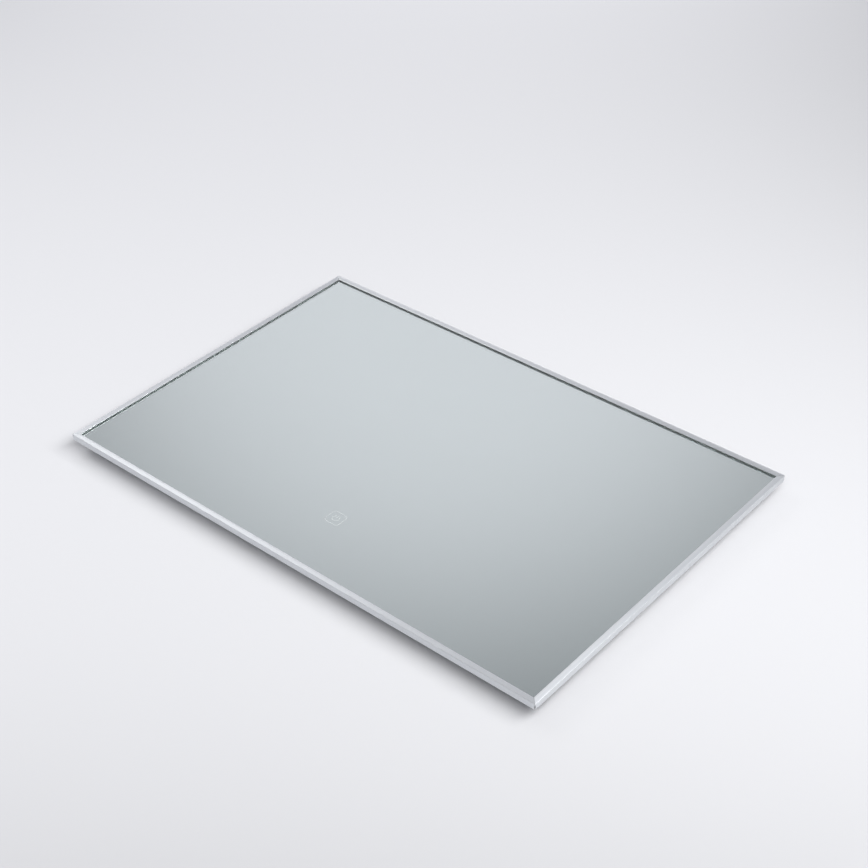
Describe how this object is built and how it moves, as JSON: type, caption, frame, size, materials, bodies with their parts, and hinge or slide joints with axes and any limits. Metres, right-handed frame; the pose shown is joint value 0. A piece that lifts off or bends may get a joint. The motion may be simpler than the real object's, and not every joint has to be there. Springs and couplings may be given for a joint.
{
  "type": "lighted bathroom mirror",
  "caption": "Landscape wall mirror in a narrow mitred aluminium frame, with a touch symbol and an inset backlit box that hangs on keyholes.",
  "frame": {"origin": "centre of the plane of the wall bumpers, which is the plane of the wall", "axes": "+X along the long side, +Y to the edge that is uppermost on the wall, +Z out of the mirror face, away from the wall"},
  "size_m": [0.9, 0.6, 0.035],
  "materials": {
    "frame_aluminium": "satin anodised",
    "clear_glass": "polished",
    "silver_layer": "polished",
    "frosted_symbol": "frosted",
    "backing_film": "satin",
    "white_foam_tape": "foam",
    "grey_foam": "foam",
    "zinc_plate": "bright zinc",
    "coated_steel": "white powder coat",
    "black_rubber": "matt",
    "channel_aluminium": "mill",
    "strip_white": "solder mask",
    "led_phosphor": "gloss",
    "diffuser_opal": "opal",
    "cap_plastic": "fine texture",
    "lead_white": "satin",
    "lead_brown": "satin",
    "lead_green": "satin",
    "driver_plastic": "fine texture",
    "board_green": "solder mask",
    "ferrite_yellow": "tape",
    "can_black": "sleeve",
    "winding_copper": "enamelled",
    "terminal_plastic": "plain",
    "terminal_brass": "plain",
    "sensor_black": "plain",
    "clear_adhesive": "satin"
  },
  "bodies": {
    "root": {"frame_top_rail": "frame_aluminium", "frame_bottom_rail": "frame_aluminium", "frame_left_stile": "frame_aluminium", "frame_right_stile": "frame_aluminium", "corner_keys": "zinc_plate", "corner_key_screws": "zinc_plate", "mirror_glass": "clear_glass", "silver_coating": "silver_layer", "touch_icon": "frosted_symbol", "safety_film": "backing_film", "glazing_tape": "white_foam_tape", "chassis_ring": "coated_steel", "chassis_foam_tape": "white_foam_tape", "cross_braces": "coated_steel", "brace_foam_pads": "grey_foam", "back_cover": "coated_steel", "cover_screws": "zinc_plate", "wall_bumpers": "black_rubber", "hanger_plate_left": "zinc_plate", "hanger_plate_right": "zinc_plate", "hanger_rivets": "zinc_plate", "led_channel_top": "channel_aluminium", "led_channel_bottom": "channel_aluminium", "led_channel_left": "channel_aluminium", "led_channel_right": "channel_aluminium", "channel_tapes": "white_foam_tape", "led_strip_top": "strip_white", "led_strip_bottom": "strip_white", "led_strip_left": "strip_white", "led_strip_right": "strip_white", "led_packages": "led_phosphor", "led_diffuser_top": "diffuser_opal", "led_diffuser_bottom": "diffuser_opal", "led_diffuser_left": "diffuser_opal", "led_diffuser_right": "diffuser_opal", "channel_end_caps": "cap_plastic", "corner_jumper_leads": "lead_white", "driver_housing": "driver_plastic", "driver_lid": "driver_plastic", "driver_lid_screws": "zinc_plate", "driver_circuit_board": "board_green", "driver_transformer": "ferrite_yellow", "driver_capacitors": "can_black", "driver_choke": "winding_copper", "mounting_studs": "zinc_plate", "mounting_nuts": "zinc_plate", "terminal_block": "terminal_plastic", "terminal_screws": "terminal_brass", "mains_leads": "lead_brown", "earth_lead": "lead_green", "cable_grommet": "black_rubber", "led_feed_lead": "lead_white", "feed_grommet": "black_rubber", "touch_sensor_lead": "lead_white", "lead_clips": "cap_plastic", "touch_sensor_housing": "sensor_black", "touch_sensor_board": "board_green", "touch_electrode": "winding_copper", "touch_indicator_led": "led_phosphor", "touch_adhesive_pad": "clear_adhesive"}
  },
  "joints": []
}
